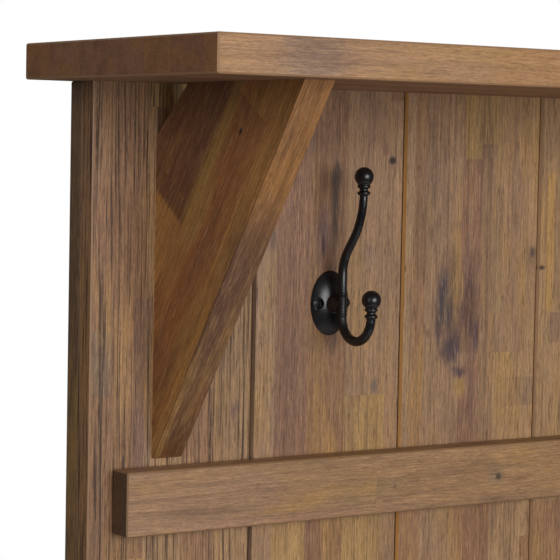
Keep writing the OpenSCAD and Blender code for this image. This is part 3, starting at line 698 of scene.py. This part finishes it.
class HALLTREE_OT_hooks(bpy.types.Operator):
    """Cast hooks in satin black powder coat: one is modelled, and copied onto the other boards"""
    bl_idname = "halltree.hooks"
    bl_label = "Hooks"

    def execute(self, context):
        sizes = context.scene.hall_tree_sizes
        ball = sizes.ball_diameter / 2 / MM
        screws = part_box("hook_screws")
        middles = [(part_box(n)[0].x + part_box(n)[1].x) / 2 for n in HOOKS]
        centre = Vector((middles[0], PANEL_FRONT, (screws[0].z + screws[1].z) / 2))
        deselect()
        parts = [plate(centre, sizes.plate_width, sizes.plate_height, sizes.plate_dome)]
        upper, top = arm(centre, (STEM_REACH, STEM_FOOT), 0.0, STEM_RADIUS, UPPER_ARM)
        lower, tip = arm(centre, (STEM_REACH, STEM_FOOT), math.pi, STEM_RADIUS, LOWER_ARM)
        parts += [upper, lower, *ball_end(centre, top, ball), *ball_end(centre, tip, ball)]
        for height in STEM_COLLARS:
            bpy.ops.mesh.primitive_torus_add(
                major_segments=48, minor_segments=16, major_radius=STEM_COLLAR_RING * MM,
                minor_radius=STEM_COLLAR_THICK * MM, location=beside(centre, STEM_REACH, height))
            parts.append(context.object)
        bpy.ops.mesh.primitive_cone_add(
            vertices=48, radius1=NECK_TIP_RADIUS * MM, radius2=NECK_ROOT_RADIUS * MM,
            depth=NECK_LENGTH * MM, rotation=(math.radians(-90), 0, 0),
            location=beside(centre, NECK_REACH, 0.0))
        parts.append(context.object)
        # Powder baked on over cast metal: nearly black and satin, with a faint orange peel
        hue = tuple(context.scene.hall_tree_colours.coat)
        coat = coated("satin black powder coat", hue, 0.31, 0.9, 0.05, IOR=1.5)
        first = casting(parts, "cast_hook_1")
        first.data.materials.clear()
        first.data.materials.append(coat)
        pieces = [first]
        for k, middle in enumerate(middles[1:], 2):
            deselect()
            first.select_set(True)
            context.view_layer.objects.active = first
            bpy.ops.object.duplicate()
            bpy.ops.transform.translate(value=(middle - middles[0], 0.0, 0.0))
            bpy.ops.object.transform_apply(location=True, rotation=True, scale=True)
            context.object.name = f"cast_hook_{k}"
            pieces.append(context.object)
        for piece, node in zip(pieces, HOOKS):
            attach(piece, "frame")
            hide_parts(node)
        return {"FINISHED"}


class HALLTREE_OT_hardware(bpy.types.Operator):
    """Black screws, bolts and hinges, zinc screws and nuts, rubber bumpers and plastic glides"""
    bl_idname = "halltree.hardware"
    bl_label = "Hardware and rests"

    def execute(self, context):
        # Blackened screws: the oxide and its oil hide the metal and give a dull gloss
        blackened = coated("black oxide steel", linear("#1b1a1b"), 0.40, 0.5, 0.03, IOR=1.5)
        paint(blackened, "hook_screws", "bench_bolts")
        # Pressed steel under black lacquer: slightly brown, with a satin gloss
        lacquered = coated("black coated hinge steel", linear("#201e1d"), 0.42, 0.6, 0.03, IOR=1.5)
        paint(lacquered, "hinge_leaves_strip", "hinge_leaves_lid", "hinge_pins",
              "hinge_screws_strip", "hinge_screws_lid")
        # Bright zinc: a pale metal with a slight grain
        zinc = coated("zinc plated steel", linear("#b5b2a8"), 0.36, 0.4, 0.02, Metallic=1.0)
        paint(zinc, "frame_screws", "long_screws", "barrel_nuts")
        # Moulded rubber: black and fully matt
        rubber = coated("matt black rubber", linear("#242424"), 0.85, 0.4, 0.08, 0.04, IOR=1.52)
        paint(rubber, "lid_bumpers")
        # Moulded nylon from a lightly sparked mould: black and semi-matt
        nylon = coated("moulded black nylon", linear("#1f1f20"), 0.55, 0.5, 0.05, IOR=1.53)
        paint(nylon, "floor_glides")
        return {"FINISHED"}


class HALLTREE_OT_stage(bpy.types.Operator):
    """Pale floor, soft lights, white surround and the camera"""
    bl_idname = "halltree.stage"
    bl_label = "Stage"

    def execute(self, context):
        sizes = context.scene.hall_tree_sizes
        deselect()
        bpy.ops.mesh.primitive_circle_add(vertices=96, radius=sizes.floor_radius, fill_type="NGON")
        floor = context.object
        floor.name = "studio_floor"
        # Matt paint on a smooth floor: pale, so that it shows only soft shadows
        material, tree = new_material("pale studio floor")
        finish_material(tree, tuple(context.scene.hall_tree_colours.floor), 0.85)
        floor.data.materials.append(material)

        for name, place, aim, size, watts in LIGHTS:
            bpy.ops.object.light_add(type="AREA", location=place)
            light = context.object
            light.name = name
            light.data.shape = "RECTANGLE"
            light.data.size, light.data.size_y = size
            light.data.energy = watts
            light.rotation_euler = (Vector(aim) - Vector(place)).to_track_quat("-Z", "Y").to_euler()

        # The camera sees plain white, while the room's own light is weak, slightly warm and
        # fainter from below
        world = bpy.data.worlds.new("white studio")
        world.use_nodes = True
        tree = world.node_tree
        tree.nodes.clear()
        seen = add(tree, "Background", (1.0, 1.0, 1.0, 1.0), 1.0)
        height = add(tree, "SeparateXYZ", add(tree, "TexCoord").outputs["Generated"]).outputs["Z"]
        falling = add(tree, "MapRange", height, -0.5, 0.4, AMBIENT_BELOW, AMBIENT)
        felt = add(tree, "Background", AMBIENT_TINT, falling)
        surround = add(tree, "MixShader", add(tree, "LightPath").outputs["Is Camera Ray"], felt, seen)
        add(tree, "OutputWorld", surround)
        context.scene.world = world
        context.scene.view_settings.view_transform = "Standard"

        corner = Vector((PANEL_LEFT, PANEL_FRONT, SHELF_UNDER))
        bpy.ops.object.camera_add()
        camera = context.object
        camera.name = "camera"
        camera.data.sensor_width = 36.0
        camera.data.lens = sizes.lens
        camera.matrix_world = (
            Matrix.Translation(corner + CAMERA_REACH)
            @ Matrix.Rotation(-CAMERA_YAW, 4, "Z")
            @ Matrix.Rotation(math.radians(90) + CAMERA_PITCH, 4, "X")
            @ Matrix.Rotation(CAMERA_ROLL, 4, "Z")
        )
        context.scene.camera = camera
        return {"FINISHED"}


# ---- Panel and registration ------------------------------------------------------------

STEPS = [
    "halltree.boards", "halltree.slabs", "halltree.braces", "halltree.rails",
    "halltree.inner_frame", "halltree.hooks", "halltree.hardware", "halltree.stage",
]


class HALLTREE_PT_panel(bpy.types.Panel):
    """Lists the steps of the hall tree"""
    bl_idname = "HALLTREE_PT_panel"
    bl_label = "Hall tree"
    bl_space_type = "VIEW_3D"
    bl_region_type = "UI"
    bl_category = "Hall tree"

    def draw(self, context):
        for step in STEPS:
            self.layout.operator(step)


CLASSES = [
    HallTreeSizes,
    HallTreeColours,
    HALLTREE_OT_boards,
    HALLTREE_OT_slabs,
    HALLTREE_OT_braces,
    HALLTREE_OT_rails,
    HALLTREE_OT_inner_frame,
    HALLTREE_OT_hooks,
    HALLTREE_OT_hardware,
    HALLTREE_OT_stage,
    HALLTREE_PT_panel,
]


def register():
    for each in CLASSES:
        bpy.utils.register_class(each)
    bpy.types.Scene.hall_tree_sizes = bpy.props.PointerProperty(type=HallTreeSizes)
    bpy.types.Scene.hall_tree_colours = bpy.props.PointerProperty(type=HallTreeColours)


def unregister():
    del bpy.types.Scene.hall_tree_colours
    del bpy.types.Scene.hall_tree_sizes
    for each in reversed(CLASSES):
        bpy.utils.unregister_class(each)


def main():
    register()
    bpy.ops.halltree.boards()
    bpy.ops.halltree.slabs()
    bpy.ops.halltree.braces()
    bpy.ops.halltree.rails()
    bpy.ops.halltree.inner_frame()
    bpy.ops.halltree.hooks()
    bpy.ops.halltree.hardware()
    bpy.ops.halltree.stage()


if __name__ == "__main__":
    main()
